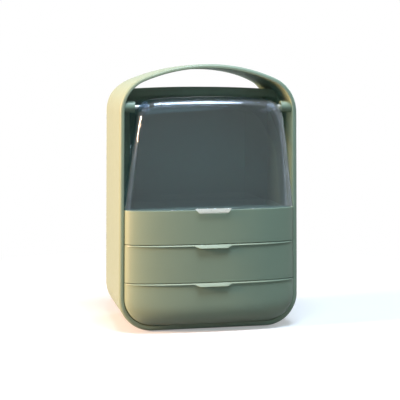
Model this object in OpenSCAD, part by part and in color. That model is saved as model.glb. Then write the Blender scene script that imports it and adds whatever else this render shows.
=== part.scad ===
// Dustproof makeup organizer: a handled band holds a clear-hooded bin above two drawers.
// Millimetres. X to the right, Y to the back, Z up. The origin is at floor level under the centre.

/* [Band] */
// Widest outside width of the band, near the bottom
body_w = 272; // [220:1:330]
// Height of the band itself, from its underside to its crown
band_h = 392.5; // [325:0.5:475]
// Depth of the band from its front rim to its back edge
band_d = 158; // [130:1:190]
// How much narrower the band is at the shoulders than near the bottom
band_taper = 6; // [0:0.5:10]
// Radius of the crown of the handle
crown_r = 255; // [230:1:300]
// Radius of the shoulders
shoulder_r = 55; // [45:1:65]
// Radius of the bottom corners
corner_r = 49; // [40:1:60]
// Width of the front rim at the sides
rim_w = 7; // [6:0.5:9]
// Height of the front rim at the bottom
rim_floor = 8; // [7:0.5:10]
// Depth of the front rim before the wall thins
rim_deep = 8; // [6:0.5:12]
// Wall of the band behind the rim
band_wall = 5; // [4.5:0.25:6]
// Wall of the band where the rear shell sits inside it
band_thin = 2.6; // [2:0.1:3]

/* [Handle] */
// Thickness of the handle strap
strap_t = 6; // [5:0.5:9]
// Depth of the strap at the crown
strap_d = 100; // [80:1:115]
// Finger gap between the strap and the deck
grip_gap = 27; // [22:1:45]
// Height over which the strap's back edge sweeps forward
sweep_h = 42; // [30:1:46]

/* [Fronts] */
// How far the fronts and the hood swell forward of the rim
bulge = 26; // [18:1:30]
// Exponent of the swell: 2 is an ellipse, more is squarer
swell_n = 2.5; // [2:0.1:3]
// Wall of the hollow fronts
front_wall = 3; // [2.5:0.1:4]
// Height of the lower drawer front
lower_h = 64.5; // [55:0.5:80]
// Height of the upper drawer front
upper_h = 55.5; // [45:0.5:70]
// Height of the bin front
bin_h = 49.5; // [40:0.5:60]
// Gap between one front and the next
front_gap = 1; // [0.8:0.1:1.5]
// Gap between the fronts and the rim around them
rim_gap = 1; // [0.8:0.1:2]
// How far up the lower front its bottom edge is rounded
under_r = 36; // [25:1:45]

/* [Pull lips] */
// Width of a pull lip along its top
lip_w = 56; // [40:1:70]
// How far each end of a lip slopes in
lip_slope = 7; // [2:0.5:9]
// Height of a pull lip
lip_h = 5.5; // [4:0.5:7]
// How far a lip stands forward of its front
lip_reach = 4; // [3:0.5:6]
// How far the thin ledge along a drawer front's top stands forward
ledge_reach = 1.5; // [1:0.1:2]
// Thickness of that ledge
ledge_t = 2; // [1:0.1:2.5]

/* [Hood] */
// Wall of the clear hood
hood_wall = 2.2; // [1.8:0.1:3]
// Gap between the hood's sides and the rim at the hood's bottom
hood_side_gap = 1.5; // [1.2:0.1:2.5]
// Drop from the deck's top to the hood's top
hood_drop = 14; // [12:0.5:20]
// How far in from the rim each shoulder of the hood lies
hood_lean = 15; // [12:0.5:20]
// Radius of the hood's shoulders, seen from the front
hood_corner_r = 30; // [24:1:36]
// Radius of the hood's slight crown
hood_crown_r = 1000; // [700:50:1500]
// How far down the hood its top edge is rounded
hood_top_r = 32; // [20:1:40]
// How far behind the rim's front plane the hood's sides end
hood_side_back = 10; // [8:0.5:12]
// How far behind the rim's front plane the hood's top ends
hood_top_back = 66; // [50:1:68]
// Rise from the centre of the band's shoulders to the hinge axis
hinge_rise = 8.5; // [4:0.5:9]
// How far behind the rim's front plane the hinge axis lies
hinge_back = 11; // [10:0.5:14]
// Radius of the hinge pins
pin_r = 2.95; // [2:0.05:4]
// Radial running clearance between pin and bush
pin_gap = 0.05; // [0.02:0.01:0.1]
// Wall of the bushes
bush_wall = 1.5; // [1:0.1:2]
// Radius of the ears that hold the bushes
ear_r = 7; // [6.5:0.25:8]
// Length of the bushes
bush_t = 7; // [5:0.5:8]
// Radius of the bosses that carry the hinge pins
bracket_r = 8.5; // [6:0.5:9]

/* [Inside] */
// How far behind the rim's front plane the rear shell begins
seam_back = 70; // [50:1:90]
// Wall of the rear shell
shell_wall = 2.2; // [2:0.1:2.4]
// Clearance around the rear shell
fit_gap = 0.2; // [0.1:0.05:0.3]
// Thickness of the deck under the handle
deck_t = 3.5; // [3:0.1:5]
// Height of the flange along the deck's front edge
flange_h = 12; // [8:0.5:12]
// Radius of the deck's slight crown
deck_crown_r = 1700; // [1200:50:3000]
// Thickness of the back wall
back_t = 2.5; // [2:0.1:3.5]
// How far the back wall is set in from the band's back edge
back_set_in = 1.5; // [1:0.1:3]
// Thickness of the shelves
shelf_t = 2.4; // [2:0.1:3]
// Wall of the drawer tubs and the bin tray
tub_wall = 2; // [1.6:0.1:3]
// Gap from the rim's inner edge to a drawer tub
tub_gap = 5; // [5:0.5:7]
// Depth that a drawer tub reaches behind the rim's front plane
tub_d = 148; // [120:1:148]
// How far a drawer pulls out
drawer_travel = 120; // [90:1:125]
// Thickness of the divider plates
divider_t = 1.6; // [1.2:0.1:2.4]
// Height of the rubber feet
foot_h = 1.5; // [1:0.25:3]
// Radius of the rubber feet
foot_r = 9; // [7:0.5:12]

/* [Hidden] */

// Colours
sage = "#8fa58c";
pale_sage = "#a3b49d";
clear = [0.72, 0.79, 0.85, 0.4];
steel = "silver";
rubber = "#3b3d3a";

// How far behind the rim's front plane some pieces begin
cap_tuck = 6;
shelf_tuck = 9;
divider_back = 85;
tray_gap = 0.6;

// Depths: the tips of the lips and the band's back edge are equally far from the origin
rim_y = -(band_d + bulge + lip_reach) / 2 + bulge + lip_reach;
back_y = rim_y + band_d;
seam_y = rim_y + seam_back;
cap_back_y = rim_y + cap_tuck;
shelf_front_y = rim_y + shelf_tuck;
back_wall_y = back_y - back_set_in - back_t;
back_face_y = back_wall_y + back_t;
tub_back_y = rim_y + tub_d;
strap_back_y = rim_y + strap_d;
hood_side_y = rim_y + hood_side_back;
hood_back_y = rim_y + hood_top_back;
hinge_y = rim_y + hinge_back;
divider_y = rim_y + divider_back;

// Widths
low_half = body_w / 2;
top_half = (body_w - band_taper) / 2;
inner_half = low_half - rim_w;
tub_in = rim_w + tub_gap;
tray_in = rim_w + tray_gap;
shoulder_x = top_half - shoulder_r;
eps = 0.01;
reach = body_w;

// Heights
band_z = foot_h;
band_top = band_z + band_h;
shoulder_z = band_top - crown_r + sqrt(pow(crown_r - shoulder_r, 2) - pow(shoulder_x, 2));
deck_z = band_top - strap_t - grip_gap;
lower_z = band_z + rim_floor + front_gap;
upper_z = lower_z + lower_h + front_gap;
bin_z = upper_z + upper_h + front_gap;
hood_z = bin_z + bin_h + front_gap;
hood_top = deck_z - hood_drop;
hinge_z = shoulder_z + hinge_rise;
shelf_drop = 1.8;
middle_shelf_z = upper_z - shelf_drop;
bin_shelf_z = bin_z - shelf_drop;
bin_floor_z = bin_shelf_z + shelf_t;
upper_tub_z = middle_shelf_z + shelf_t + 1;
lower_tub_z = band_z + tub_in;
bin_boss_z = bin_z + bin_h / 2;
upper_boss_z = upper_z + upper_h / 2;
lower_boss_z = lower_z + lower_h / 2;
sweep_drop = 4;

// Steps along the arcs
corner_steps = 10;
shoulder_steps = 14;
crown_steps = 20;
swell_steps = 30;

// Drawer parts
tub_drop = 4.4;
tub_flange_t = 2.2;
tub_flange_out = 3.4;
slide_gap = 0.3;
rail_t = 3;
rail_front = 10;
shelf_ledge_t = 2.6;
shelf_ledge_gap = 2;
rail_gap = 0.4;
plate_t = 1.5;
catch_x = 70;
catch_w = 26;
catch_t = 2;
catch_gap = 0.8;
rib_gap = 1.4;
rib_stop_gap = 0.5;
divider_rise = 26;
tall_divider_rise = 36;
tray_drop = 4;
lip_root = 2;

// The hood's outline: the centre of its shoulder arc, the lean of its sides and where its crown begins
hood_low_x = inner_half - hood_side_gap;
hood_crown_z = hood_top - hood_crown_r;
hood_cx = top_half - rim_w - hood_lean - hood_corner_r;
hood_cz = hood_crown_z + sqrt(pow(hood_crown_r - hood_corner_r, 2) - pow(hood_cx, 2));
hood_lean_a = atan2(hood_z - hood_cz, hood_low_x - hood_cx)
    + acos(hood_corner_r / norm([hood_low_x - hood_cx, hood_z - hood_cz]));
hood_tip_a = atan2(hood_cz - hood_crown_z, hood_cx);
hood_sweep_drop = 54;
hood_sweep_z = shoulder_z - hood_sweep_drop;
hood_lip_up = 1.5;
lip_gap = 0.5;

// The hood's hinge
bush_r = pin_r + pin_gap + bush_wall;
bush_in = 3;
ear_x = hood_shoulder_x(hinge_z + bush_r) - bush_in;
bracket_gap = 0.5;
bracket_x = hood_shoulder_x(hinge_z - bracket_r) + bracket_gap;
pin_wall_gap = 0.1;
pin_head_gap = 0.4;
bumper_x = 60;
bumper_r = 2.2;
bumper_in = 0.5;

// Screws
screw_r = 1.5;
head_r = 3;
head_t = 1.4;
boss_r = 3.4;
boss_reach = 2;
screw_x = 80;
cap_screw_deep = 5;
rear_screw_deep = 6;
rear_screw_in = 36;
rear_screw_x = low_half - rear_screw_in;
base_screw_x = 50;
base_screw_front_in = 12;
base_screw_back_in = 14;
base_screw_front_y = seam_y + base_screw_front_in;
base_screw_back_y = back_y - base_screw_back_in;
base_head_t = 1.1;
screw_end_gap = 0.4;

// Feet
foot_side_in = 4;
foot_end_in = 10;
foot_x = low_half - corner_r - foot_r - foot_side_in;
foot_front_y = rim_y + foot_r + foot_end_in;
foot_back_y = back_y - foot_r - foot_end_in;

function arc(cx, cz, r, a0, a1, n) =
    [for (i = [0 : n]) let (a = a0 + (a1 - a0) * i / n) [cx + r * cos(a), cz + r * sin(a)]];

function mirrored(half) = concat(half, [for (i = [len(half) - 1 : -1 : 0]) [-half[i][0], half[i][1]]]);

// Half of the band's outline, moved in by s at the sides, t at the crown and b at the bottom
function band_half(s, t, b) =
    let (
        zc = band_top - crown_r,
        rc = crown_r - t,
        rs = shoulder_r - s,
        zs = zc + sqrt(pow(rc - rs, 2) - pow(shoulder_x, 2)),
        tip = atan2(zs - zc, shoulder_x),
        rb = corner_r - s
    )
    concat(
        arc(low_half - corner_r, band_z + b + rb, rb, -90, 0, corner_steps),
        arc(shoulder_x, zs, rs, 0, tip, shoulder_steps),
        [for (i = [1 : crown_steps - 1]) let (a = tip + (90 - tip) * i / crown_steps)
            [rc * cos(a), zc + rc * sin(a)]],
        [[0, zc + rc]]
    );

// Half width of the hood at height z on its leaning side, moved in by g
function hood_side_x(z, g) = hood_low_x - (z - hood_z) * tan(hood_lean_a) - g / cos(hood_lean_a);

// Half width of the hood at height z on its shoulder
function hood_shoulder_x(z) = hood_cx + sqrt(pow(hood_corner_r, 2) - pow(z - hood_cz, 2));

// Half of the hood's outline seen from the front, from height z0 up, moved in by g
function hood_half(z0, g) =
    concat(
        [[hood_side_x(z0, g), z0]],
        arc(hood_cx, hood_cz, hood_corner_r - g, hood_lean_a, hood_tip_a, shoulder_steps),
        [for (i = [1 : crown_steps]) let (a = hood_tip_a + (90 - hood_tip_a) * i / crown_steps)
            [(hood_crown_r - g) * cos(a), hood_crown_z + (hood_crown_r - g) * sin(a)]]
    );

function deck_line(x, drop) = deck_z - drop - x * x / (2 * deck_crown_r);

// How far the swell stands forward of the rim at x, for a half width and a height of swell
function swell(x, half, high) = high * pow(max(0, 1 - pow(abs(x) / half, swell_n)), 1 / swell_n);

// Plan of a swollen front, from its back plane forwards
function swell_plan(half, high, y_back) =
    concat(
        [[half, y_back]],
        [for (i = [0 : 2 * swell_steps]) let (a = 90 - 90 * i / swell_steps, x = half * sin(a))
            [x, rim_y - swell(x, half, high)]],
        [[-half, y_back]]
    );

// Side view of a swell that rounds from height z0 to height z0 + run, with sign up or down
function swell_side(z_edge, run, z_far, high, y_back) =
    concat(
        [[y_back, z_edge], [rim_y, z_edge]],
        [for (i = [1 : swell_steps]) let (u = 1 - cos(90 * i / swell_steps))
            [rim_y - high * pow(max(0, 1 - pow(1 - u, swell_n)), 1 / swell_n), z_edge + run * u]],
        [[rim_y - high, z_far], [y_back, z_far]]
    );

module along_y(y0, y1) {
    translate([0, y1, 0]) rotate([90, 0, 0]) linear_extrude(y1 - y0) children();
}

module along_x(x0, x1) {
    translate([x0, 0, 0]) rotate([90, 0, 90]) linear_extrude(x1 - x0) children();
}

module slab(z0, z1, y0, y1) {
    translate([-reach, y0, z0]) cube([2 * reach, y1 - y0, z1 - z0]);
}

module band_solid(s, t, b, y0, y1) {
    along_y(y0, y1) polygon(mirrored(band_half(s, t, b)));
}

// A slice of the band's inside, between two heights and two depths
module inside_slice(s, z0, z1, y0, y1) {
    intersection() {
        band_solid(s, strap_t, s, y0, y1);
        slab(z0, z1, y0 - 1, y1 + 1);
    }
}

// Everything under the crowned deck line
module under_deck(drop, y0, y1) {
    half = reach / 2;
    along_y(y0, y1) polygon(concat(
        [[-half, 0], [half, 0]],
        [for (i = [0 : 24]) let (x = half - body_w * i / 24) [x, deck_line(x, drop)]]
    ));
}

module rod(x0, long, y, z, r) {
    translate([x0, y, z]) rotate([0, 90, 0]) cylinder(h = long, r = r, $fn = 48);
}

module bolt(x, y0, y1, z, r) {
    translate([x, y1, z]) rotate([90, 0, 0]) cylinder(h = y1 - y0, r = r, $fn = 32);
}

// The continuous band with its handle strap
module outer_band() {
    color(sage) difference() {
        band_solid(0, 0, 0, rim_y, back_y);
        band_solid(rim_w, strap_t, rim_floor, rim_y - 1, back_y + 1);
        band_solid(band_wall, strap_t, band_wall, rim_y + rim_deep, back_y + 1);
        intersection() {
            band_solid(band_thin, strap_t, band_thin, seam_y, back_y + 1);
            under_deck(-fit_gap, seam_y, back_y + 1);
        }
        strap_sweep();
        base_screw_holes(band_z - 1, band_z + band_thin + 1);
    }
}

// What is cut away behind the strap so that its back edge sweeps forward
module strap_sweep() {
    z0 = band_top - sweep_drop - sweep_h;
    mid = (back_y + strap_back_y) / 2;
    swing = (back_y - strap_back_y) / 2;
    along_x(-reach, reach) polygon(concat(
        [[back_y + 2, z0 - 2]],
        [[back_y + 2, band_top + 2], [strap_back_y, band_top + 2]],
        [for (i = [0 : 24]) let (a = 180 - 180 * i / 24)
            [mid + swing * cos(a), z0 + sweep_h * a / 180]],
        [[back_y + 1, z0 - 2]]
    ));
}

// The shell pushed in from behind: floor, sides, back wall and the deck with the flange at its front
module rear_shell() {
    s = band_thin + fit_gap;
    inner = s + shell_wall;
    color(sage) difference() {
        intersection() {
            band_solid(s, strap_t + fit_gap, s, seam_y + fit_gap, back_face_y);
            under_deck(0, seam_y, back_face_y);
        }
        intersection() {
            band_solid(inner, strap_t + inner, inner, seam_y - 1, back_wall_y);
            union() {
                under_deck(flange_h, seam_y - 1, back_wall_y);
                under_deck(deck_t, seam_y + deck_t, back_wall_y);
            }
        }
        rear_screw_holes(back_wall_y - 1, back_face_y + 1);
        base_screw_holes(band_z + band_thin, band_z + band_wall + 1);
    }
}

// A flat shelf with rear screw bosses and the ribs that stop the drawer below it
module shelf(z) {
    rib_y = tub_back_y - catch_t - drawer_travel - rib_stop_gap;
    rib_h = tub_drop - rib_gap;
    difference() {
        union() {
            inside_slice(band_wall + plate_t + 2 * fit_gap, z, z + shelf_t, shelf_front_y, back_wall_y);
            for (m = [-1, 1])
                bolt(m * rear_screw_x, tub_back_y + boss_reach, back_wall_y, z + shelf_t / 2, boss_r);
            for (m = [-1, 1])
                translate([m * catch_x - catch_w / 2, rib_y - catch_t, z - rib_h])
                    cube([catch_w, catch_t, rib_h + eps]);
        }
        for (m = [-1, 1])
            bolt(m * rear_screw_x, back_wall_y - rear_screw_deep, back_wall_y + 1, z + shelf_t / 2, screw_r);
    }
}

module bin_shelf() { color(pale_sage) shelf(bin_shelf_z); }

module middle_shelf() { color(pale_sage) shelf(middle_shelf_z); }

// A side runner: a plate against the wall, rails under the drawers' flanges, ledges under the shelves
module runner(side) {
    y0 = rim_y + rail_front;
    y1 = back_wall_y;
    outer = band_wall + fit_gap;
    intersection() {
        translate([side > 0 ? 0 : -reach, y0, 0]) cube([reach, y1 - y0, band_top]);
        union() {
            wall_strip(outer, outer + plate_t, band_z + corner_r, bin_shelf_z + shelf_t, y0, y1);
            for (z = [middle_shelf_z, bin_shelf_z]) {
                rail_z = z - tub_drop - tub_flange_t - slide_gap;
                wall_strip(outer, tub_in - shelf_ledge_gap, z - shelf_ledge_t, z, y0, y1);
                wall_strip(outer, tub_in - rail_gap, rail_z - rail_t, rail_z, y0, y1);
            }
        }
    }
}

module wall_strip(s0, s1, z0, z1, y0, y1) {
    difference() {
        inside_slice(s0, z0, z1, y0, y1);
        inside_slice(s1, z0 - 1, z1 + 1, y0 - 1, y1 + 1);
    }
}

module left_runner() { color(pale_sage) runner(-1); }

module right_runner() { color(pale_sage) runner(1); }

// The swollen outside of a front between two heights, moved in all round by g
module swollen(z0, z1, g, y_back) {
    intersection() {
        translate([0, 0, z0]) linear_extrude(z1 - z0)
            polygon(swell_plan(inner_half - rim_gap - g, bulge - g, y_back));
        band_solid(rim_w + rim_gap + g, strap_t + g, rim_floor + front_gap + g, rim_y - bulge - 1, y_back);
    }
}

// A lip seen from the front: z is its top and h its height
module lip(z, h, y_back) {
    top = lip_w / 2;
    along_y(rim_y - bulge - lip_reach, y_back)
        polygon([[-top, z], [-top + lip_slope, z - h], [top - lip_slope, z - h], [top, z]]);
}

// A thin ledge along the top edge of a drawer front
module ledge(z) {
    translate([0, 0, z - ledge_t]) linear_extrude(ledge_t)
        polygon(swell_plan(inner_half - rim_gap, bulge + ledge_reach, rim_y));
}

module cap_bosses(z) {
    for (m = [-1, 1]) bolt(m * screw_x, rim_y - bulge, cap_back_y, z, boss_r);
}

module cap_screw_holes(z) {
    for (m = [-1, 1]) bolt(m * screw_x, rim_y - cap_screw_deep, cap_back_y + 1, z, screw_r);
}

// A hollow front, closed but for its back, with bosses for two screws
module cap(z0, z1, boss_z) {
    difference() {
        union() {
            swollen(z0, z1, 0, cap_back_y);
            children();
        }
        difference() {
            swollen(z0 + front_wall, z1 - front_wall, front_wall, cap_back_y + 1);
            cap_bosses(boss_z);
        }
        cap_screw_holes(boss_z);
    }
}

module bin_front() {
    color(sage) cap(bin_z, bin_z + bin_h, bin_boss_z);
}

module upper_drawer_front() {
    z1 = upper_z + upper_h;
    color(sage) cap(upper_z, z1, upper_boss_z) {
        lip(z1, lip_h, rim_y - bulge + lip_root);
        ledge(z1);
    }
}

// The lower front also rounds under along its bottom edge
module lower_swollen(z0, z1, g, y_back) {
    intersection() {
        swollen(z0, z1, g, y_back);
        along_x(-reach, reach) polygon(swell_side(z0, under_r, z1 + 1, bulge - g, y_back));
    }
}

module lower_drawer_front() {
    z1 = lower_z + lower_h;
    color(sage) difference() {
        union() {
            lower_swollen(lower_z, z1, 0, cap_back_y);
            lip(z1, lip_h, rim_y - bulge + lip_root);
            ledge(z1);
        }
        difference() {
            lower_swollen(lower_z + front_wall, z1 - front_wall, front_wall, cap_back_y + 1);
            cap_bosses(lower_boss_z);
        }
        cap_screw_holes(lower_boss_z);
    }
}

// An open tub that follows the band's inside; s is its distance in from the band's outline
module tub(s, z0, z1, y_back) {
    difference() {
        inside_slice(s, z0, z1, cap_back_y, y_back);
        intersection() {
            band_solid(s + tub_wall, strap_t, s + tub_wall, cap_back_y + tub_wall, y_back - tub_wall);
            slab(z0 + tub_wall, z1 + 1, cap_back_y, y_back);
        }
    }
}

// A drawer tub with side flanges to hang by and two catches at the back
module drawer_tub(z0, shelf_z, boss_z) {
    z1 = shelf_z - tub_drop;
    difference() {
        union() {
            tub(tub_in, z0, z1, tub_back_y);
            wall_strip(tub_in - tub_flange_out, tub_in + tub_wall, z1 - tub_flange_t, z1,
                shelf_front_y, tub_back_y);
            for (m = [-1, 1])
                translate([m * catch_x - catch_w / 2, tub_back_y - catch_t, z1 - eps])
                    cube([catch_w, catch_t, tub_drop - catch_gap]);
        }
        for (m = [-1, 1]) bolt(m * screw_x, cap_back_y - 1, cap_back_y + tub_wall + 1, boss_z, screw_r);
    }
}

module upper_drawer_tub() { color(pale_sage) drawer_tub(upper_tub_z, bin_shelf_z, upper_boss_z); }

module lower_drawer_tub() { color(pale_sage) drawer_tub(lower_tub_z, middle_shelf_z, lower_boss_z); }

module bin_tray() {
    color(pale_sage) difference() {
        tub(tray_in, bin_floor_z, bin_z + bin_h - tray_drop, tub_back_y);
        for (m = [-1, 1])
            bolt(m * screw_x, cap_back_y - 1, cap_back_y + tub_wall + 1, bin_boss_z, screw_r);
    }
}

// A plate across a tub, from side wall to side wall
module cross_divider(s, y, z0, z1) {
    inside_slice(s + tub_wall, z0, z1, y, y + divider_t);
}

module bin_divider() {
    z0 = bin_floor_z + tub_wall;
    color(pale_sage) cross_divider(tray_in, divider_y, z0, z0 + divider_rise);
}

module upper_drawer_divider() {
    z0 = upper_tub_z + tub_wall;
    color(pale_sage) cross_divider(tub_in, divider_y, z0, z0 + divider_rise);
}

// A plate from front to back down the middle of the lower tub
module lower_drawer_divider() {
    z0 = lower_tub_z + tub_wall;
    y0 = cap_back_y + tub_wall;
    color(pale_sage) translate([-divider_t / 2, y0, z0])
        cube([divider_t, tub_back_y - tub_wall - y0, tall_divider_rise]);
}

// Two screws from inside a tub into the bosses of its front
module front_screws(z) {
    y = cap_back_y + tub_wall;
    color(steel) for (m = [-1, 1]) {
        bolt(m * screw_x, rim_y - cap_screw_deep + 1, y + eps, z, screw_r);
        bolt(m * screw_x, y, y + head_t, z, head_r);
    }
}

module bin_screws() { front_screws(bin_boss_z); }

module upper_drawer_screws() { front_screws(upper_boss_z); }

module lower_drawer_screws() { front_screws(lower_boss_z); }

// The hood's outside above height z0, moved in all round by g
module hood_form(g, z0, y_back) {
    intersection() {
        translate([0, 0, z0]) linear_extrude(hood_top - g - z0)
            polygon(swell_plan(hood_low_x - g, bulge - g, y_back));
        along_y(rim_y - bulge - 1, y_back) polygon(mirrored(hood_half(z0, g)));
        along_x(-reach, reach) polygon(
            swell_side(hood_top - g, g - hood_top_r, z0 - 5, bulge - g, y_back));
    }
}

// What is cut away behind the hood's sides, up to the slope that leads back to its top
module hood_sweep() {
    rise = hood_back_y - hood_side_y;
    along_x(-reach, reach) polygon([
        [hood_side_y, hood_z - 1], [hood_back_y + 2, hood_z - 1],
        [hood_back_y + 2, hood_sweep_z + rise + 2], [hood_side_y, hood_sweep_z]
    ]);
}

// The clear hood with its pull lip and the two ears it swings on
module hood_shell() {
    color(clear) difference() {
        union() {
            difference() {
                hood_form(0, hood_z, hood_back_y);
                hood_form(hood_wall, hood_z - 1, hood_back_y + 1);
            }
            difference() {
                lip(hood_z + hood_lip_up, lip_h + hood_lip_up, rim_y - bulge + hood_wall);
                slab(hood_z - lip_h - 1, hood_z, rim_y - bulge - lip_gap, rim_y);
            }
            intersection() {
                hood_form(0, hood_z, hood_back_y);
                for (m = [-1, 1])
                    rod(m > 0 ? ear_x - bush_t : -low_half, low_half - ear_x + bush_t, hinge_y, hinge_z, ear_r);
            }
        }
        hood_sweep();
        rod(-reach, 2 * reach, hinge_y, hinge_z, bush_r);
    }
}

module hood_bush(m) {
    x0 = m > 0 ? ear_x - bush_t : -ear_x;
    color("white") difference() {
        rod(x0, bush_t, hinge_y, hinge_z, bush_r);
        rod(x0 - 1, bush_t + 2, hinge_y, hinge_z, pin_r + pin_gap);
    }
}

module left_hood_bush() { hood_bush(-1); }

module right_hood_bush() { hood_bush(1); }

// The part of a band's inside that the hinge's own parts stay in
module hinge_room(g) {
    z0 = hinge_z - 2 * bracket_r;
    z1 = hinge_z + 2 * bracket_r;
    inside_slice(rim_w + g, z0, z1, rim_y, seam_y);
    inside_slice(band_wall + g, z0, z1, rim_y + rim_deep + g, seam_y);
}

// A pin that stands out of its boss through the bush, with a head inside it
module hinge_pin(m) {
    tip = ear_x - bush_t - pin_head_gap;
    color(steel) intersection() {
        union() {
            rod(m > 0 ? tip - eps : -low_half, low_half - tip + eps, hinge_y, hinge_z, pin_r);
            rod(m > 0 ? tip - head_t : -tip, head_t, hinge_y, hinge_z, pin_r + bush_wall);
        }
        hinge_room(pin_wall_gap);
    }
}

module left_hinge_pin() { hinge_pin(-1); }

module right_hinge_pin() { hinge_pin(1); }

// A boss on the band's inner wall that carries the pin
module hinge_bracket(m) {
    color(sage) difference() {
        intersection() {
            rod(m > 0 ? bracket_x : -low_half, low_half - bracket_x, hinge_y, hinge_z, bracket_r);
            hinge_room(0);
        }
        rod(-reach, 2 * reach, hinge_y, hinge_z, pin_r);
    }
}

module left_hinge_bracket() { hinge_bracket(-1); }

module right_hinge_bracket() { hinge_bracket(1); }

// Small clear pads on the bin front that the hood's bottom edge lands on
module hood_bumpers() {
    y = rim_y - swell(bumper_x, inner_half, bulge) + bumper_r + bumper_in;
    color("white") for (m = [-1, 1])
        translate([m * bumper_x, y, bin_z + bin_h]) cylinder(h = front_gap - slide_gap, r = bumper_r, $fn = 32);
}

module rear_screw_holes(y0, y1) {
    for (m = [-1, 1]) for (z = [middle_shelf_z, bin_shelf_z])
        bolt(m * rear_screw_x, y0, y1, z + shelf_t / 2, screw_r);
}

module rear_screws() {
    color(steel) for (m = [-1, 1]) for (z = [middle_shelf_z, bin_shelf_z]) {
        bolt(m * rear_screw_x, back_wall_y - rear_screw_deep + 1, back_face_y + eps, z + shelf_t / 2, screw_r);
        bolt(m * rear_screw_x, back_face_y, back_face_y + head_t, z + shelf_t / 2, head_r);
    }
}

module base_screw_holes(z0, z1) {
    for (x = [-base_screw_x, base_screw_x]) for (y = [base_screw_front_y, base_screw_back_y])
        translate([x, y, z0]) cylinder(h = z1 - z0, r = screw_r, $fn = 32);
}

module base_screws() {
    shank = band_wall - screw_end_gap;
    color(steel) for (x = [-base_screw_x, base_screw_x]) for (y = [base_screw_front_y, base_screw_back_y]) {
        translate([x, y, band_z - eps]) cylinder(h = shank + eps, r = screw_r, $fn = 32);
        translate([x, y, band_z - base_head_t]) cylinder(h = base_head_t, r = head_r, $fn = 32);
    }
}

module feet() {
    color(rubber) for (x = [-foot_x, foot_x]) for (y = [foot_front_y, foot_back_y])
        translate([x, y, 0]) cylinder(h = foot_h, r = foot_r, $fn = 48);
}

outer_band();
rear_shell();
bin_shelf();
middle_shelf();
left_runner();
right_runner();
bin_front();
bin_tray();
bin_divider();
bin_screws();
hood_shell();
left_hood_bush();
right_hood_bush();
left_hinge_pin();
right_hinge_pin();
left_hinge_bracket();
right_hinge_bracket();
hood_bumpers();
upper_drawer_front();
upper_drawer_tub();
upper_drawer_divider();
upper_drawer_screws();
lower_drawer_front();
lower_drawer_tub();
lower_drawer_divider();
lower_drawer_screws();
rear_screws();
base_screws();
feet();
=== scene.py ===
import math

import bmesh
import bpy
from mathutils import Matrix, Vector


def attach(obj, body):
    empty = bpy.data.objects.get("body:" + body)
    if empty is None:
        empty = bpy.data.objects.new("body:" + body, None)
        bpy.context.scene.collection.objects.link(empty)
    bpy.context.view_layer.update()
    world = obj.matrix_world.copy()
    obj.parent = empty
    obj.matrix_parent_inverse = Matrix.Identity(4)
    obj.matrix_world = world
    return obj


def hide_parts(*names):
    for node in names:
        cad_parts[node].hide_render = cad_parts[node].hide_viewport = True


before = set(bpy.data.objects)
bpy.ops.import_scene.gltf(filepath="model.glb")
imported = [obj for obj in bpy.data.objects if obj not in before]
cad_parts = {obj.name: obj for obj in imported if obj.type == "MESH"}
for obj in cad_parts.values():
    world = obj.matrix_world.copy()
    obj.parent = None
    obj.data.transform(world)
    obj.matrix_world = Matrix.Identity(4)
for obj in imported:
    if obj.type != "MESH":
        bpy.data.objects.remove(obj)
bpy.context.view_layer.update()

# ---- Outer band ----------------------------------------------------------------------------------
# One ring of satin ABS that is both side walls, the floor and the carrying strap. It is injection
# moulded in one shot: a 7 mm rim in front, thinner walls behind it, and a strap whose back edge
# sweeps forward.

# Sizes are in millimetres, and each finished mesh is turned to metres
mm = 0.001
body_w, band_z, band_top = 272, 1.5, 394
rim_y, back_y, seam_y, strap_back_y = -64, 94, 6, 36
taper, crown_r, shoulder_r, corner_r = 6, 255, 55, 49
shoulder_x = (body_w - taper) / 2 - shoulder_r
crown_z = band_top - crown_r
rim_w, rim_floor, rim_deep, wall, thin_wall, strap_t = 7, 8, 8, 5, 2.6, 6
outer_round, inner_round, back_round, back_inner_round = 3.9, 0.7, 1.1, 0.6
sweep_z, sweep_h = 348, 42
deck_top, step_gap = 361, 2
corner_steps, shoulder_steps, crown_steps = 20, 24, 44

sage = "#93a890"
sage_shade = "#8ca08a"


def linear(hex_colour):
    """An sRGB hex colour as Blender's linear red, green, blue and alpha."""
    parts = [int(hex_colour[i:i + 2], 16) / 255 for i in (1, 3, 5)]
    return [c / 12.92 if c <= 0.04045 else ((c + 0.055) / 1.055) ** 2.4 for c in parts] + [1]


def add(material, kind, settings, inputs):
    """Adds a shader node. An input is a plain value, or another node's output, which is linked."""
    node = material.node_tree.nodes.new(kind)
    for name, value in settings.items():
        setattr(node, name, value)
    for name, value in inputs.items():
        if isinstance(value, bpy.types.NodeSocket):
            material.node_tree.links.new(value, node.inputs[name])
        else:
            node.inputs[name].default_value = value
    return node


def new_material(name):
    """An empty material and the Object coordinates that its patterns lie on."""
    material = bpy.data.materials.new(name)
    material.use_nodes = True
    material.node_tree.nodes.clear()
    return material, add(material, "ShaderNodeTexCoord", {}, {}).outputs["Object"]


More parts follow.
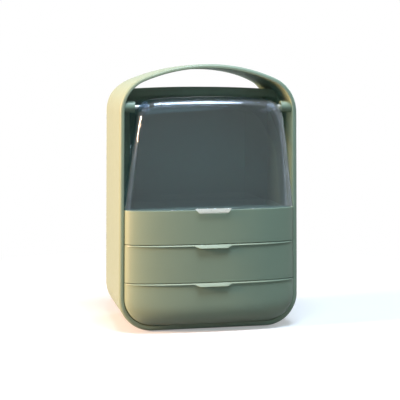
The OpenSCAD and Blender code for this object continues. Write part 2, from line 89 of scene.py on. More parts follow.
def moulded(name, colour, shade, rough, rough_spread, grain_mm, grain_depth, ior):
    """A moulded plastic or rubber: drifting colour, uneven gloss and the grain of its tool."""
    # The colour drifts over some 70 mm, and handling has changed the gloss over some 9 mm
    material, here = new_material(name)
    flow = add(material, "ShaderNodeTexNoise", {},
               {"Vector": here, "Scale": 14, "Detail": 3, "Roughness": 0.6})
    tone = add(material, "ShaderNodeMix", {"data_type": "RGBA"},
               {0: flow.outputs["Fac"], 6: linear(shade), 7: linear(colour)})
    handling = add(material, "ShaderNodeTexNoise", {},
                   {"Vector": here, "Scale": 110, "Detail": 5, "Roughness": 0.65})
    gloss = add(material, "ShaderNodeMapRange", {},
                {"Value": handling.outputs["Fac"], "From Min": 0.3, "From Max": 0.7,
                 "To Min": rough - rough_spread, "To Max": rough + rough_spread})
    grain = add(material, "ShaderNodeTexNoise", {},
                {"Vector": here, "Scale": 1000 / grain_mm, "Detail": 2, "Roughness": 0.5})
    relief = add(material, "ShaderNodeBump", {},
                 {"Height": grain.outputs["Fac"], "Strength": grain_depth, "Distance": 0.0004})
    body = add(material, "ShaderNodeBsdfPrincipled", {},
               {"Base Color": tone.outputs[2], "Roughness": gloss.outputs[0], "IOR": ior,
                "Normal": relief.outputs["Normal"]})
    add(material, "ShaderNodeOutputMaterial", {}, {"Surface": body.outputs[0]})
    return material


# Moulded ABS in sage with a satin, spark-eroded skin: a soft wide highlight. The real grain is
# about 0.1 mm; it is drawn at 0.8 mm, the finest that still shows.
satin_abs = moulded("satin moulded ABS", sage, sage_shade, rough=0.46, rough_spread=0.05,
                    grain_mm=0.8, grain_depth=0.10, ior=1.53)


def turn(bm, last, centre, degrees, steps):
    """Carries the end of a line round a centre, seen from the front, and gives the new end."""
    made = bmesh.ops.spin(bm, geom=[last], cent=centre, axis=(0, -1, 0),
                          angle=math.radians(degrees), steps=steps)
    return next(v for v in made["geom_last"] if isinstance(v, bmesh.types.BMVert))


def band_ring(bm, side, top, floor, y):
    """A closed ring of edges at depth y: the band's outline moved in at sides, crown and floor."""
    before = set(bm.edges)
    corner, crown, shoulder = corner_r - side, crown_r - top, shoulder_r - side
    shoulder_z = crown_z + math.sqrt((crown - shoulder) ** 2 - shoulder_x ** 2)
    tip = math.degrees(math.atan2(shoulder_z - crown_z, shoulder_x))
    corner_x, floor_z = body_w / 2 - corner_r, band_z + floor
    start = bm.verts.new((0, y, floor_z))
    low_right = bm.verts.new((corner_x, y, floor_z))
    bm.edges.new((start, low_right))
    right = turn(bm, low_right, (corner_x, y, floor_z + corner), 90, corner_steps)
    right_top = bm.verts.new((shoulder_x + shoulder, y, shoulder_z))
    bm.edges.new((right, right_top))
    crown_end = turn(bm, right_top, (shoulder_x, y, shoulder_z), tip, shoulder_steps)
    crown_end = turn(bm, crown_end, (0, y, crown_z), 180 - 2 * tip, crown_steps)
    left_top = turn(bm, crown_end, (-shoulder_x, y, shoulder_z), tip, shoulder_steps)
    left = bm.verts.new((-corner_x - corner, y, floor_z + corner))
    bm.edges.new((left_top, left))
    low_left = turn(bm, left, (-corner_x, y, floor_z + corner), 90, corner_steps)
    bm.edges.new((low_left, start))
    return [e for e in bm.edges if e not in before]


def bevel(bm, edges, width, segments=3):
    """Rounds edges of a mesh."""
    bmesh.ops.bevel(bm, geom=edges, offset=width, offset_type="OFFSET", segments=segments,
                    profile=0.5, affect="EDGES", material=-1, clamp_overlap=True)


def piece(bm, name, material, crease=32):
    """Turns a mesh made in millimetres into one object of the model, in metres."""
    closeness = 0.004
    bmesh.ops.remove_doubles(bm, verts=bm.verts, dist=closeness)
    bmesh.ops.dissolve_degenerate(bm, edges=bm.edges, dist=closeness)
    bmesh.ops.recalc_face_normals(bm, faces=bm.faces)
    bmesh.ops.scale(bm, vec=(mm, mm, mm), verts=bm.verts)
    mesh = bpy.data.meshes.new(name)
    bm.to_mesh(mesh)
    bm.free()
    mesh.materials.append(material)
    mesh.shade_smooth()
    mesh.set_sharp_from_angle(angle=math.radians(crease))
    made = bpy.data.objects.new(name, mesh)
    bpy.context.scene.collection.objects.link(made)
    even = made.modifiers.new("even shading", "WEIGHTED_NORMAL")
    even.keep_sharp = True
    return made


bm = bmesh.new()
outer_front = band_ring(bm, 0, 0, 0, rim_y)
outer_back = band_ring(bm, 0, 0, 0, back_y)
inner_back = band_ring(bm, thin_wall, strap_t, thin_wall, back_y)
inner_seam = band_ring(bm, thin_wall, strap_t, thin_wall, seam_y)
inner_step = band_ring(bm, wall, strap_t, wall, seam_y)
inner_neck = band_ring(bm, wall, strap_t, wall, rim_y + rim_deep)
rim_neck = band_ring(bm, rim_w, strap_t, rim_floor, rim_y + rim_deep)
rim_front = band_ring(bm, rim_w, strap_t, rim_floor, rim_y)

rings = [outer_front, outer_back, inner_back, inner_seam, inner_step, inner_neck, rim_neck,
         rim_front]


def in_order(ring):
    """A ring's points in the order they were made, which is the same in every ring."""
    return sorted({v for e in ring for v in e.verts}, key=lambda v: v.index)


# Above the deck the wall keeps its full thickness to the back, so the step at the seam lies flat
# there, with its two rings kept apart
bm.verts.index_update()
for ring, y in ((inner_back, back_y), (inner_seam, seam_y + step_gap)):
    for thin, thick in zip(in_order(ring), in_order(inner_step)):
        if thick.co.z > deck_top:
            thin.co = (thick.co.x, y, thick.co.z)

# The back edge sweeps forward in one smooth wave, from the top of the walls to the strap
for v in {v for e in outer_back + inner_back for v in e.verts}:
    share = min(1, max(0, (v.co.z - sweep_z) / sweep_h))
    middle, swing = (back_y + strap_back_y) / 2, (back_y - strap_back_y) / 2
    v.co.y = middle + swing * math.cos(math.pi * share)

for ring, following in zip(rings, rings[1:] + rings[:1]):
    bmesh.ops.bridge_loops(bm, edges=ring + following)
bevel(bm, outer_front, outer_round, 7)
bevel(bm, rim_front, inner_round)
bevel(bm, outer_back, back_round)
bevel(bm, inner_back, back_inner_round, 2)
outer_band = piece(bm, "organizer_band", satin_abs)
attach(outer_band, "cabinet")
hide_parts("outer_band")

# ---- Rear shell ----------------------------------------------------------------------------------
# The second ABS moulding, pushed into the band from behind: floor, sides, back wall and the crowned
# deck under the handle, with a flange along the deck's front edge. Its front edge shows as a seam
# in the side walls.


def from_frame(node, edge, segments=2):
    """A node's mesh in millimetres: points merged, flat faces whole and edges rounded."""
    bm = bmesh.new()
    bm.from_mesh(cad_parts[node].data)
    bmesh.ops.scale(bm, vec=(1 / mm, 1 / mm, 1 / mm), verts=bm.verts)
    bmesh.ops.remove_doubles(bm, verts=bm.verts, dist=0.003)
    bmesh.ops.dissolve_limit(bm, angle_limit=math.radians(0.4), verts=bm.verts, edges=bm.edges)
    bevel(bm, [e for e in bm.edges if e.is_manifold and e.calc_face_angle() > math.radians(40)],
          edge, segments)
    return bm


rear_shell = piece(from_frame("rear_shell", 0.5), "organizer_rear_shell", satin_abs)
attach(rear_shell, "cabinet")
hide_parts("rear_shell")

# ---- Shelves, runners and the bin's inside -------------------------------------------------------
# The working parts behind the fronts, moulded in a paler polypropylene that slides well: shelves,
# side runners, the bin's tray and the drawers' tubs, with a divider plate in each. All have softly
# broken edges.

pale_sage, pale_shade = "#a9b9a3", "#a1b29c"

# Moulded polypropylene is waxier than ABS, with hardly any grain, which is drawn at 1.2 mm
soft_polypropylene = moulded("moulded polypropylene", pale_sage, pale_shade, rough=0.48,
                             rough_spread=0.05, grain_mm=1.2, grain_depth=0.06, ior=1.49)

for node, body, edge in (
    ("bin_shelf", "cabinet", 0.4),
    ("middle_shelf", "cabinet", 0.4),
    ("left_runner", "cabinet", 0.3),
    ("right_runner", "cabinet", 0.3),
    ("bin_tray", "cabinet", 0.6),
    ("bin_divider", "cabinet", 0.5),
    ("upper_drawer_tub", "upper_drawer", 0.6),
    ("upper_drawer_divider", "upper_drawer", 0.5),
    ("lower_drawer_tub", "lower_drawer", 0.6),
    ("lower_drawer_divider", "lower_drawer", 0.5),
):
    inside = piece(from_frame(node, edge), "organizer_" + node, soft_polypropylene)
    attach(inside, body)
    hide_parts(node)

# ---- Fronts --------------------------------------------------------------------------------------
# Three hollow ABS caps that swell 26 mm forward of the rim: the fixed bin front and two drawer
# fronts. Each drawer front has a thin ledge along its top, sloped on its upper side, that grows
# into a pull lip in the middle.

lower_z, upper_z, bin_z = (10.5, 75), (76, 131.5), (132.5, 182)
front_half, bulge, swell_n, front_wall, front_back_y = 128, 26, 2.5, 3, -58
side_foot, side_rise = 50.5, 272.7            # where the band's leaning side starts, and its height
corner_z, corner_in_r = 51.5, 41
under_r, under_share = 36, 0.7                # the curve under a front takes 0.7 of its rows
lip_half, lip_slope = 28, 7
front_columns, lip_columns = 76, 13           # lip columns are a third of the lip's slope apart
face_rows, under_rows = 6, 30
front_top_round, front_foot_round = 0.9, 0.8
boss_x, boss_r, screw_hole_r, boss_reach = 80, 3.4, 1.5, 19.5

# How far the ledge and the lip stand out of a front and how far down its top edge that is, from
# below upwards
ledge_profile = ((0, 2.0), (1.2, 2.0), (1.5, 1.8), (1.5, 1.5), (0.5, 0.2), (0.15, 0))
lip_profile = ((0, 5.5), (3.4, 5.5), (4.0, 5.1), (4.0, 4.6), (0.8, 0.3), (0.2, 0))
inside_profile = ((0, 2.0), (0, 1.6), (0, 1.2), (0, 0.8), (0, 0.4), (0, 0))
no_profile = ((0, 0),)


def swell(share):
    """How far a front stands forward at a share of its half width, as a share of its swell."""
    return max(0, 1 - min(1, abs(share)) ** swell_n) ** (1 / swell_n)


def front_outline(z, inset):
    """The half width of the fronts at a height, which follows the band and its bottom corners."""
    if z >= corner_z:
        return front_half - inset - max(0, z - side_foot) * taper / 2 / side_rise
    radius = corner_in_r - inset
    return front_half - corner_in_r + math.sqrt(max(0, radius ** 2 - (corner_z - z) ** 2))


def column_share(column):
    """Where a column of points lies: even over the lip, then closer towards the front's ends."""
    step = lip_slope / 3
    if abs(column) <= lip_columns:
        return column * step / front_half
    first = math.asin(lip_columns * step / front_half)
    part = (abs(column) - lip_columns) / (front_columns / 2 - lip_columns)
    return math.copysign(math.sin(first + (math.pi / 2 - first) * part), column)


def front_skin(bm, z0, z1, inset, ledge, lip, rounded_under):
    """One side of a front's wall: a swollen face with its edges turned back. Gives both rims."""
    before = set(bm.verts)
    rows = under_rows if rounded_under else face_rows
    all_rows = rows + len(lip) - 1
    bmesh.ops.create_grid(bm, x_segments=front_columns, y_segments=all_rows, size=1)
    for v in [v for v in bm.verts if v not in before]:
        row = round((v.co.y + 1) / 2 * all_rows)
        share = column_share(round(v.co.x * front_columns / 2))
        grown = min(1, max(0, (lip_half - abs(share) * front_half) / lip_slope))
        here = max(0, row - rows)
        out, down = ((1 - grown) * a + grown * b for a, b in zip(ledge[here], lip[here]))
        face_top = z1 - (1 - grown) * ledge[0][1] - grown * lip[0][1]
        part = min(1, row / rows)
        if rounded_under:
            run = under_r - inset
            if part < under_share:
                part = 1 - math.cos(math.pi / 2 * part / under_share)
            else:
                part = 1 + (part - under_share) / (1 - under_share)
            z = z0 + run * part if part <= 1 else z0 + run + (part - 1) * (face_top - z0 - run)
            forward = swell(1 - min(1, (z - z0) / run))
        else:
            z = z0 + part * (face_top - z0)
            forward = 1
        if row > rows:
            z = z1 - down
        v.co = (share * front_outline(z, inset),
                rim_y - ((bulge - inset) * forward + out) * swell(share), z)
    rim = [e for e in bm.edges if e.is_boundary and all(v not in before for v in e.verts)]
    made = bmesh.ops.extrude_edge_only(bm, edges=rim)["geom"]
    for v in [g for g in made if isinstance(g, bmesh.types.BMVert)]:
        v.co.y = front_back_y - inset / 6
    return rim, [g for g in made if isinstance(g, bmesh.types.BMEdge) and g.is_boundary]


def tube(bm, centre, far, outer, inner):
    """A closed tube between two points, with a hole right through it."""
    axis = Vector(far) - Vector(centre)
    turned = axis.to_track_quat("Z", "Y").to_matrix().to_4x4()
    rings = []
    for radius, end in ((outer, centre), (outer, far), (inner, far), (inner, centre)):
        points = bmesh.ops.create_circle(bm, segments=32, radius=radius,
                                         matrix=Matrix.Translation(end) @ turned)["verts"]
        rings.append(list({e for v in points for e in v.link_edges}))
    for ring, following in zip(rings, rings[1:] + rings[:1]):
        bmesh.ops.bridge_loops(bm, edges=ring + following)


def along(edges, z):
    """The edges that lie level at a height."""
    return [e for e in edges if e.is_valid and all(abs(v.co.z - z) < 0.01 for v in e.verts)]


def front(z0, z1, profiled, rounded_under):
    """A hollow front between two heights, open at its back, with bosses for its two screws."""
    bm = bmesh.new()
    outside = (ledge_profile, lip_profile) if profiled else (no_profile, no_profile)
    inside = (inside_profile, inside_profile) if profiled else (no_profile, no_profile)
    rim, back = front_skin(bm, z0, z1, 0, *outside, rounded_under)
    _, inner_back = front_skin(bm, z0 + front_wall, z1 - front_wall, front_wall, *inside,
                               rounded_under)
    bmesh.ops.bridge_loops(bm, edges=back + inner_back)
    for v in {v for e in inner_back for v in e.verts}:
        v.co.y = front_back_y
    if not profiled:
        bevel(bm, along(rim, z1), front_top_round)
    if not rounded_under:
        bevel(bm, along(rim, z0), front_foot_round)
    for x in (-boss_x, boss_x):
        tube(bm, (x, rim_y - boss_reach, (z0 + z1) / 2), (x, front_back_y, (z0 + z1) / 2),
             boss_r, screw_hole_r)
    return bm


for node, name, body, (z0, z1), profiled, rounded_under in (
    ("bin_front", "organizer_bin_front", "cabinet", bin_z, False, False),
    ("upper_drawer_front", "organizer_upper_front", "upper_drawer", upper_z, True, False),
    ("lower_drawer_front", "organizer_lower_front", "lower_drawer", lower_z, True, True),
):
    cap = piece(front(z0, z1, profiled, rounded_under), name, satin_abs, 50)
    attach(cap, body)
    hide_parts(node)

# ---- Clear hood ----------------------------------------------------------------------------------
# A single thin moulding in clear polystyrene with polished faces, hung on two pins at its
# shoulders. Its face swells like the fronts, its sides lean in, and its top rounds back to the
# flange under the handle.

hood_z, hood_top, hood_low_half, hood_wall = 183, 347, 127.5, 2.2
hood_shoulder = (81, 313.6, 30)               # x and z of its centre, and its radius
hood_crown_r, hood_top_round, hood_side_round, hood_edge_round = 1000, 32, 12, 0.45
hood_side_y, hood_back_y, hood_sweep_z = -54, 2, 269.2
side_cuts, hood_shoulder_steps, hood_crown_steps, hood_rings = 15, 22, 40, 26
hinge_y, hinge_z = -53, 331.663
ear_x, ear_end, ear_sink, ear_r = 90.8, 104, 1.1, 7
bore_x, bore_end, bush_r = 85, 125, 4.5
hood_lip_top, hood_lip_h = 184.9, 7.4

# Clear moulded polystyrene: polished, IOR 1.59, with a little haze and flow lines some 45 mm
# broad. Its faint smoky blue is partly the plastic's own tint and partly painted reflection, made
# bluer to stand in for the bluish room that the curved hood reflects. Two fifths of what is seen
# through it comes straight on, and so does all the light that reaches the bin.
blue_tint_and_painted_reflection = linear("#e0e9f2")
clear_polystyrene, here = new_material("clear moulded polystyrene")
haze = add(clear_polystyrene, "ShaderNodeTexNoise", {},
           {"Vector": here, "Scale": 30, "Detail": 3})
polish = add(clear_polystyrene, "ShaderNodeMapRange", {},
             {"Value": haze.outputs["Fac"], "From Min": 0.3, "From Max": 0.7,
              "To Min": 0.015, "To Max": 0.05})
flow_lines = add(clear_polystyrene, "ShaderNodeTexNoise", {},
                 {"Vector": here, "Scale": 22, "Detail": 1})
ripple = add(clear_polystyrene, "ShaderNodeBump", {},
             {"Height": flow_lines.outputs["Fac"], "Strength": 0.05, "Distance": 0.002})
# Partly painted reflection: the base colour's blue-grey stands in for the room seen in the hood
glass = add(clear_polystyrene, "ShaderNodeBsdfPrincipled", {},
            {"Base Color": linear("#d8e3f0"), "Roughness": polish.outputs[0], "IOR": 1.59,
             "Transmission Weight": 1.0, "Normal": ripple.outputs["Normal"]})
let_through = add(clear_polystyrene, "ShaderNodeBsdfTransparent", {}, {"Color": blue_tint_and_painted_reflection})
ray = add(clear_polystyrene, "ShaderNodeLightPath", {}, {})
light_ray = add(clear_polystyrene, "ShaderNodeMath", {"operation": "MAXIMUM"},
                {0: ray.outputs["Is Shadow Ray"], 1: ray.outputs["Is Diffuse Ray"]})
share = add(clear_polystyrene, "ShaderNodeMath", {"operation": "MAXIMUM"},
            {0: light_ray.outputs[0], 1: 0.4})
both = add(clear_polystyrene, "ShaderNodeMixShader", {},
           {0: share.outputs[0], 1: glass.outputs[0], 2: let_through.outputs[0]})
add(clear_polystyrene, "ShaderNodeOutputMaterial", {}, {"Surface": both.outputs[0]})

# The lip is etched in the tool so that fingers grip it, with the etch drawn at 0.7 mm. Its milky
# whitish colour is painted highlight: it stands in for the light that the clear lip catches inside
# it.
etched_lip_with_painted_highlight, here = new_material("etched polystyrene with painted highlight")
etch = add(etched_lip_with_painted_highlight, "ShaderNodeTexNoise", {},
           {"Vector": here, "Scale": 1400, "Detail": 2})
bite = add(etched_lip_with_painted_highlight, "ShaderNodeMapRange", {},
           {"Value": etch.outputs["Fac"], "From Min": 0.3, "From Max": 0.7,
            "To Min": 0.26, "To Max": 0.4})
tooth = add(etched_lip_with_painted_highlight, "ShaderNodeBump", {},
            {"Height": etch.outputs["Fac"], "Strength": 0.12, "Distance": 0.0003})
# The milky whitish base colour is painted highlight on the clear lip
milky_painted_highlight = add(etched_lip_with_painted_highlight, "ShaderNodeBsdfPrincipled", {},
            {"Base Color": linear("#dfe3da"), "Roughness": bite.outputs[0], "IOR": 1.59,
             "Transmission Weight": 0.6, "Normal": tooth.outputs["Normal"]})
let_through = add(etched_lip_with_painted_highlight, "ShaderNodeBsdfTransparent", {}, {"Color": blue_tint_and_painted_reflection})
ray = add(etched_lip_with_painted_highlight, "ShaderNodeLightPath", {}, {})
share = add(etched_lip_with_painted_highlight, "ShaderNodeMath", {"operation": "MULTIPLY"},
            {0: ray.outputs["Is Shadow Ray"], 1: 0.65})
both = add(etched_lip_with_painted_highlight, "ShaderNodeMixShader", {},
           {0: share.outputs[0], 1: milky_painted_highlight.outputs[0], 2: let_through.outputs[0]})
add(etched_lip_with_painted_highlight, "ShaderNodeOutputMaterial", {}, {"Surface": both.outputs[0]})


def hood_outline(inset):
    """The hood's outline from the front: its shoulder, its side's lean, and its shoulder's tip."""
    cx, cz, radius = hood_shoulder
    out, down = hood_low_half - cx, hood_z - cz
    lean = math.atan2(down, out) + math.acos(radius / math.hypot(out, down))
    tip = math.atan2(cz - hood_top + hood_crown_r, cx)
    return cx, cz, radius - inset, lean, tip


def hood_half_at(z, inset):
    """The hood's half width at a height."""
    cx, cz, radius, lean, _ = hood_outline(inset)
    side_top = cz + radius * math.sin(lean)
    if z < side_top:
        return cx + radius * math.cos(lean) + (side_top - z) * math.tan(lean)
    return cx + math.sqrt(max(0, radius ** 2 - (z - cz) ** 2))


def hood_top_at(x, inset):
    """The height of the hood's outline at a distance from its middle."""
    cx, cz, radius, _, tip = hood_outline(inset)
    if abs(x) <= cx + radius * math.cos(tip):
        return hood_top - hood_crown_r + math.sqrt((hood_crown_r - inset) ** 2 - x * x)
    return cz + math.sqrt(max(0, radius ** 2 - (abs(x) - cx) ** 2))


def hood_skin(inset):
    """One side of the hood's wall: its outline drawn in to its bottom's middle, then swollen."""
    bm = bmesh.new()
    cx, cz, radius, lean, tip = hood_outline(inset)
    side_z = cz + radius * math.sin(lean)
    low = [bm.verts.new((side * hood_half_at(hood_z, inset), rim_y, hood_z)) for side in (1, -1)]
    high = bm.verts.new((hood_half_at(side_z, inset), rim_y, side_z))
    end = turn(bm, high, (cx, rim_y, cz), math.degrees(tip - lean), hood_shoulder_steps)
    end = turn(bm, end, (0, rim_y, hood_top - hood_crown_r), 180 - 2 * math.degrees(tip),
               hood_crown_steps)
    end = turn(bm, end, (-cx, rim_y, cz), math.degrees(tip - lean), hood_shoulder_steps)
    sides = [bm.edges.new((low[0], high)), bm.edges.new((end, low[1]))]
    bmesh.ops.subdivide_edges(bm, edges=sides, cuts=side_cuts)
    loop = bm.edges[:]
    outline, previous = bm.edges[:], 1.0
    for step in range(1, hood_rings):
        scale = math.sin(math.pi / 2 * (1 - step / hood_rings))
        made = bmesh.ops.extrude_edge_only(bm, edges=loop)["geom"]
        points = [g for g in made if isinstance(g, bmesh.types.BMVert)]
        loop = [g for g in made
                if isinstance(g, bmesh.types.BMEdge) and all(v in points for v in g.verts)]
        for v in points:
            v.co.x *= scale / previous
            v.co.z = hood_z + (v.co.z - hood_z) * scale / previous
        previous = scale
    bmesh.ops.pointmerge(bm, verts=list({v for e in loop for v in e.verts}),
                         merge_co=(0, rim_y, hood_z))
    for v in bm.verts:
        from_side = max(0, hood_half_at(v.co.z, inset) - abs(v.co.x))
        from_top = max(0, hood_top_at(v.co.x, inset) - v.co.z)
        side = swell(1 - min(1, from_side / (hood_side_round - inset)))
        top = swell(1 - min(1, from_top / (hood_top_round - inset)))
        v.co.y = rim_y - (bulge - inset) * swell(v.co.x / (hood_low_half - inset)) * side * top
    made = bmesh.ops.extrude_edge_only(bm, edges=outline)["geom"]
    for v in [g for g in made if isinstance(g, bmesh.types.BMVert)]:
        v.co.y = min(hood_back_y, hood_side_y + max(0, v.co.z - hood_sweep_z))
    mesh = bpy.data.meshes.new("hood_skin")
    bm.to_mesh(mesh)
    bm.free()
    return mesh


def combine(bm, tool, operation):
    """A closed mesh joined with another, or with the other cut away from it."""
    shapes = []
    for part in (bm, tool):
        bmesh.ops.remove_doubles(part, verts=part.verts, dist=0.002)
        bmesh.ops.recalc_face_normals(part, faces=part.faces)
        mesh = bpy.data.meshes.new("shape")
        part.to_mesh(mesh)
        part.free()
        shapes.append(bpy.data.objects.new("shape", mesh))
        bpy.context.scene.collection.objects.link(shapes[-1])
    boolean = shapes[0].modifiers.new("combine", "BOOLEAN")
    boolean.object, boolean.operation, boolean.solver = shapes[1], operation, "EXACT"
    made = bmesh.new()
    made.from_object(shapes[0], bpy.context.evaluated_depsgraph_get())
    for shape in shapes:
        bpy.data.meshes.remove(shape.data)
    return made


def rod(bm, x0, x1, radius):
    """A closed round bar along the hinge axis. Gives the points of its far end."""
    ends = []
    for x in (x0, x1):
        matrix = Matrix.Translation((x, hinge_y, hinge_z)) @ Matrix.Rotation(math.pi / 2, 4, "Y")
        ends.append(bmesh.ops.create_circle(bm, cap_ends=True, segments=48, radius=radius,
                                            matrix=matrix)["verts"])
    bmesh.ops.bridge_loops(
        bm, edges=[e for end in ends for e in {e for v in end for e in v.link_edges}])
    return ends[1]


bm = bmesh.new()
for skin in (hood_skin(0), hood_skin(hood_wall)):
    bm.from_mesh(skin)
    bpy.data.meshes.remove(skin)
bmesh.ops.bridge_loops(bm, edges=[e for e in bm.edges if e.is_boundary])
bmesh.ops.recalc_face_normals(bm, faces=bm.faces)
bevel(bm, [e for e in bm.edges if e.calc_face_angle() > math.radians(55)], hood_edge_round, 2)

# The pull lip: a wedge that slopes out of the hood's face and hangs in front of the bin front's
# top edge, drawn by the depth and height of its section's corners
lip = bmesh.new()
corners = [lip.verts.new((-lip_half, y, z)) for y, z in (
    (-89.2, hood_lip_top), (-90.05, hood_lip_top), (-93.2, 179.3), (-93.2, 178.2),
    (-92.6, 177.5), (-91.2, 177.5), (-90.6, 182.6), (-89.2, 183.4))]
face = lip.faces.new(corners)
made = bmesh.ops.extrude_face_region(lip, geom=[face])["geom"]
bmesh.ops.translate(lip, vec=(2 * lip_half, 0, 0),
                    verts=[g for g in made if isinstance(g, bmesh.types.BMVert)])
for v in lip.verts:
    v.co.x -= math.copysign(lip_slope * min(1, (hood_lip_top - v.co.z) / hood_lip_h), v.co.x)
bevel(lip, lip.edges[:], 0.35, 2)
bm = combine(bm, lip, "UNION")

# The ears: bosses inside the hood's shoulders, each bored for its bush right through the wall
ears, bores = bmesh.new(), bmesh.new()
for side in (-1, 1):
    for v in rod(ears, side * ear_x, side * ear_end, ear_r):
        v.co.x = side * (hood_half_at(v.co.z, 0) - ear_sink)
    rod(bores, side * bore_x, side * bore_end, bush_r)
bm = combine(bm, ears, "UNION")
bm = combine(bm, bores, "DIFFERENCE")
hood = piece(bm, "organizer_hood", clear_polystyrene, 40)

# Only the lip reaches this far forward, in metres by now, and its faces take the etch
lip_starts_y = -0.0902
hood.data.materials.append(etched_lip_with_painted_highlight)
for face in hood.data.polygons:
    if face.center.y < lip_starts_y:
        face.material_index = 1
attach(hood, "hood")
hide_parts("hood_shell")

# ---- Hinge, bumpers, screws and feet -------------------------------------------------------------
# The small fittings: sage bosses that carry zinc-plated pins, acetal bushes in the hood's ears,
# pan-head screws with a cross recess, clear silicone pads that the hood lands on, and rubber feet
# under the base.

# Zinc plate on steel: bright grey, clouded by its passivation. Its crystals are drawn at 1.1 mm.
zinc_plate, here = new_material("zinc-plated steel")
cloud = add(zinc_plate, "ShaderNodeTexNoise", {}, {"Vector": here, "Scale": 900, "Detail": 4})
cloudy = add(zinc_plate, "ShaderNodeMapRange", {},
             {"Value": cloud.outputs["Fac"], "From Min": 0.3, "From Max": 0.7,
              "To Min": 0.24, "To Max": 0.42})
plate = add(zinc_plate, "ShaderNodeBsdfPrincipled", {},
            {"Base Color": linear("#c9cac6"), "Metallic": 1.0, "Roughness": cloudy.outputs[0]})
add(zinc_plate, "ShaderNodeOutputMaterial", {}, {"Surface": plate.outputs[0]})

# Acetal is waxy and dense and silicone soft and hazy, both with their grain drawn at 1 mm. The
# rubber of the feet is matt, with a coarse skin drawn at 0.7 mm.
natural_acetal = moulded("natural acetal", "#e4e3dc", "#dddcd4", rough=0.34, rough_spread=0.04,
                         grain_mm=1.0, grain_depth=0.03, ior=1.48)
clear_silicone = moulded("translucent silicone", "#dcdfda", "#d3d7d2", rough=0.42,
                         rough_spread=0.05, grain_mm=1.0, grain_depth=0.03, ior=1.41)
moulded_rubber = moulded("moulded rubber", "#343735", "#2c2f2d", rough=0.72, rough_spread=0.06,
                         grain_mm=0.7, grain_depth=0.2, ior=1.52)

for node, body, slot, material, edge in (
    ("left_hinge_bracket", "cabinet", "sage_plastic", satin_abs, 0.8),
    ("right_hinge_bracket", "cabinet", "sage_plastic", satin_abs, 0.8),
    ("left_hinge_pin", "cabinet", "steel", zinc_plate, 0.4),
    ("right_hinge_pin", "cabinet", "steel", zinc_plate, 0.4),
    ("left_hood_bush", "hood", "acetal", natural_acetal, 0.3),
    ("right_hood_bush", "hood", "acetal", natural_acetal, 0.3),
    ("hood_bumpers", "cabinet", "silicone", clear_silicone, 0.25),
):
    fitting = piece(from_frame(node, edge, 3), "organizer_" + node, material)
    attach(fitting, body)
    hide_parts(node)

head_r, shank_r, tip_r = 3, 1.5, 0.5
recess_long, recess_wide, recess_lift = 1.6, 0.42, 0.3
recess_deep, recess_draft = 0.65, 0.72        # shares of the head's height and the recess's width
screw_y, rear_screw_y = -56, 92.5


def screw(head_t, shank):
    """A pan-head self-tapping screw along Z, its head's underside at the origin, as a mesh."""
    # Half of its section, from the tip to the crown of the head
    bm = bmesh.new()
    line = [bm.verts.new((x, 0, z)) for x, z in (
        (0, -shank), (tip_r, -shank + 0.3), (shank_r, -shank + 1.8), (shank_r, 0),
        (head_r - 0.25, 0), (head_r, 0.25), (head_r - 0.12, 0.5 * head_t),
        (0.8 * head_r, 0.85 * head_t), (0.5 * head_r, head_t), (0, head_t))]
    edges = [bm.edges.new(pair) for pair in zip(line, line[1:])]
    bmesh.ops.spin(bm, geom=line + edges, cent=(0, 0, 0), axis=(0, 0, 1), angle=math.tau,
                   steps=32, use_merge=True)
    recess = bmesh.new()
    bmesh.ops.create_grid(recess, x_segments=3, y_segments=3, size=1)
    for v in recess.verts:
        v.co = [math.copysign(recess_long if abs(c) > 0.5 else recess_wide, c)
                for c in v.co.xy] + [head_t + recess_lift]
    corners = [f for f in recess.faces if min(abs(c) for c in f.calc_center_median().xy) > 0.5]
    bmesh.ops.delete(recess, geom=corners, context="FACES")
    deep = bmesh.ops.extrude_face_region(recess, geom=recess.faces[:])["geom"]
    deep = [g for g in deep if isinstance(g, bmesh.types.BMVert)]
    bmesh.ops.translate(recess, vec=(0, 0, -recess_lift - recess_deep * head_t), verts=deep)
    bmesh.ops.scale(recess, vec=(recess_draft, recess_draft, 1), verts=deep)
    bm = combine(bm, recess, "DIFFERENCE")
    mesh = bpy.data.meshes.new("screw")
    bm.to_mesh(mesh)
    bm.free()
    return mesh


def behind_front(z0, z1):
    """Where the two screws of a front stand, halfway up it against its tub's or tray's wall."""
    return [(x, screw_y, (z0 + z1) / 2) for x in (-boss_x, boss_x)]


front_screw, rear_screw, base_screw = screw(1.4, 12), screw(1.4, 7), screw(1.1, 4.6)
to_back, downwards = Matrix.Rotation(-math.pi / 2, 4, "X"), Matrix.Rotation(math.pi, 4, "X")
behind_shell = [(x, rear_screw_y, z) for x in (-100, 100) for z in (75.4, 131.9)]
under_band = [(x, y, band_z) for x in (-50, 50) for y in (18, 80)]
for node, body, master, facing, places in (
    ("bin_screws", "cabinet", front_screw, to_back, behind_front(*bin_z)),
    ("upper_drawer_screws", "upper_drawer", front_screw, to_back, behind_front(*upper_z)),
    ("lower_drawer_screws", "lower_drawer", front_screw, to_back, behind_front(*lower_z)),
    ("rear_screws", "cabinet", rear_screw, to_back, behind_shell),
    ("base_screws", "cabinet", base_screw, downwards, under_band),
):
    bm = bmesh.new()
    for place in places:
        last = len(bm.verts)
        bm.from_mesh(master)
        bm.verts.ensure_lookup_table()
        bmesh.ops.transform(bm, matrix=Matrix.Translation(place) @ facing, verts=bm.verts[last:])
    screws = piece(bm, "organizer_" + node, zinc_plate, 35)
    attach(screws, body)
    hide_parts(node)
for master in (front_screw, rear_screw, base_screw):
    bpy.data.meshes.remove(master)

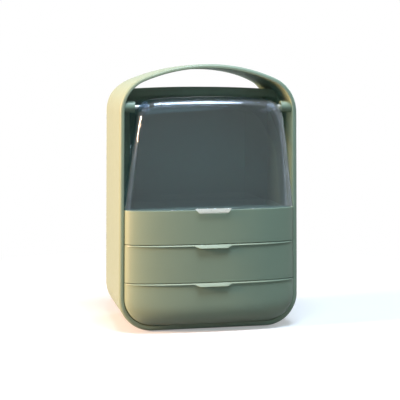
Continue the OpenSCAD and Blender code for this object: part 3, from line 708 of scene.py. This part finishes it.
# Each foot is a round pad whose sole is sunk a little inside a rim
foot_r, foot_h, foot_sides = 9, 1.5, 48
sole_rim, sole_step, sole_sunk, foot_round = 2.4, 0.3, 0.35, 0.3
bm = bmesh.new()
for x in (-74, 74):
    for y in (-45, 75):
        made = bmesh.ops.create_cone(bm, cap_ends=True, segments=foot_sides, radius1=foot_r,
                                     radius2=foot_r, depth=foot_h,
                                     matrix=Matrix.Translation((x, y, foot_h / 2)))["verts"]
        sole = next(f for v in made for f in v.link_faces
                    if len(f.verts) == foot_sides and f.calc_center_median().z < foot_h / 2)
        rim_edges = list(sole.edges)
        bmesh.ops.inset_individual(bm, faces=[sole], thickness=sole_rim)
        bmesh.ops.inset_individual(bm, faces=[sole], thickness=sole_step, depth=-sole_sunk)
        bevel(bm, rim_edges, foot_round, 2)
feet = piece(bm, "organizer_feet", moulded_rubber)
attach(feet, "cabinet")
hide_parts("feet")

# ---- Studio --------------------------------------------------------------------------------------
# A pale floor in a white surround, lit from the left by a warm softbox, from above by a cool one,
# and a little from the front and from behind.

scene = bpy.context.scene
scene.view_settings.view_transform = "Standard"


def clear_sight(material):
    """1 on the rays that show the background: the camera's, and those mirrored or let through."""
    ray = add(material, "ShaderNodeLightPath", {}, {})
    seen = add(material, "ShaderNodeMath", {"operation": "MAXIMUM"},
               {0: ray.outputs["Is Camera Ray"], 1: ray.outputs["Is Transmission Ray"]})
    return add(material, "ShaderNodeMath", {"operation": "MAXIMUM"},
               {0: seen.outputs[0], 1: ray.outputs["Is Glossy Ray"]}).outputs[0]


# White where it is looked at, with the object's shadow near the middle, and dark grey as a source
# of light. Past shadow_end metres from the middle it is plain white.
shadow_full, shadow_end, least_white = 0.2, 0.75, 0.3
floor_paint, here = new_material("pale floor")
away = add(floor_paint, "ShaderNodeVectorMath", {"operation": "LENGTH"}, {0: here})
glow = add(floor_paint, "ShaderNodeMapRange", {},
           {"Value": away.outputs["Value"], "From Min": shadow_full, "From Max": shadow_end,
            "To Min": least_white, "To Max": 1.0})
white = add(floor_paint, "ShaderNodeEmission", {}, {"Color": (1, 1, 1, 1), "Strength": 1.0})
lit = add(floor_paint, "ShaderNodeBsdfDiffuse", {}, {"Color": linear("#ffffff")})
looks = add(floor_paint, "ShaderNodeMixShader", {},
            {0: glow.outputs[0], 1: lit.outputs[0], 2: white.outputs[0]})
grey = add(floor_paint, "ShaderNodeBsdfDiffuse", {}, {"Color": linear("#403f3c")})
paint = add(floor_paint, "ShaderNodeMixShader", {},
            {0: clear_sight(floor_paint), 1: grey.outputs[0], 2: looks.outputs[0]})
add(floor_paint, "ShaderNodeOutputMaterial", {}, {"Surface": paint.outputs[0]})

floor_half = 40
bm = bmesh.new()
bmesh.ops.create_grid(bm, x_segments=1, y_segments=1, size=floor_half)
floor_mesh = bpy.data.meshes.new("studio_floor")
bm.to_mesh(floor_mesh)
bm.free()
floor_mesh.materials.append(floor_paint)
floor = bpy.data.objects.new("studio_floor", floor_mesh)
scene.collection.objects.link(floor)

surround = bpy.data.worlds.new("studio")
surround.use_nodes = True
surround.node_tree.nodes.clear()
scene.world = surround
dim = add(surround, "ShaderNodeBackground", {}, {"Color": linear("#d6ebf2"), "Strength": 0.13})
bright = add(surround, "ShaderNodeBackground", {}, {"Color": (1, 1, 1, 1), "Strength": 1.0})
sky = add(surround, "ShaderNodeMixShader", {},
          {0: clear_sight(surround), 1: dim.outputs[0], 2: bright.outputs[0]})
add(surround, "ShaderNodeOutputWorld", {}, {"Surface": sky.outputs[0]})


def softbox(name, place, aim, width, height, watts, colour):
    """An oval lamp at a place, turned towards a point."""
    light = bpy.data.lights.new(name, "AREA")
    light.shape = "ELLIPSE"
    light.size, light.size_y = width, height
    light.energy, light.color = watts, linear(colour)[:3]
    lamp = bpy.data.objects.new(name, light)
    lamp.location = place
    lamp.rotation_euler = (Vector(aim) - Vector(place)).to_track_quat("-Z", "Y").to_euler()
    scene.collection.objects.link(lamp)


softbox("warm_key", place=(-2.0, -0.27, 0.72), aim=(0, 0, 0.2), width=0.4, height=0.7,
        watts=100, colour="#ffcba3")
softbox("top_light", place=(0.1, -0.5, 1.75), aim=(0, 0, 0.25), width=0.9, height=0.5,
        watts=32, colour="#dcecff")
softbox("front_fill", place=(-0.5, -1.9, 1.45), aim=(0, 0, 0.2), width=2.3, height=1.2,
        watts=7, colour="#9fe0f8")
softbox("rear_fill", place=(1.5, 1.9, 0.7), aim=(0, 0, 0.2), width=1.6, height=1.2,
        watts=34, colour="#eef2ff")

looks_down, turned_right = 5.5, 11.75         # the camera's angles in degrees
sight = bpy.data.cameras.new("camera")
sight.lens, sight.sensor_width = 99, 36
sight.shift_x, sight.shift_y = -0.0024, -0.0222
sight.dof.use_dof = False
camera = bpy.data.objects.new("camera", sight)
camera.location = (-0.34196, -1.64405, 0.36319)
camera.rotation_euler = (math.radians(90 - looks_down), 0, math.radians(-turned_right))
scene.collection.objects.link(camera)
scene.camera = camera
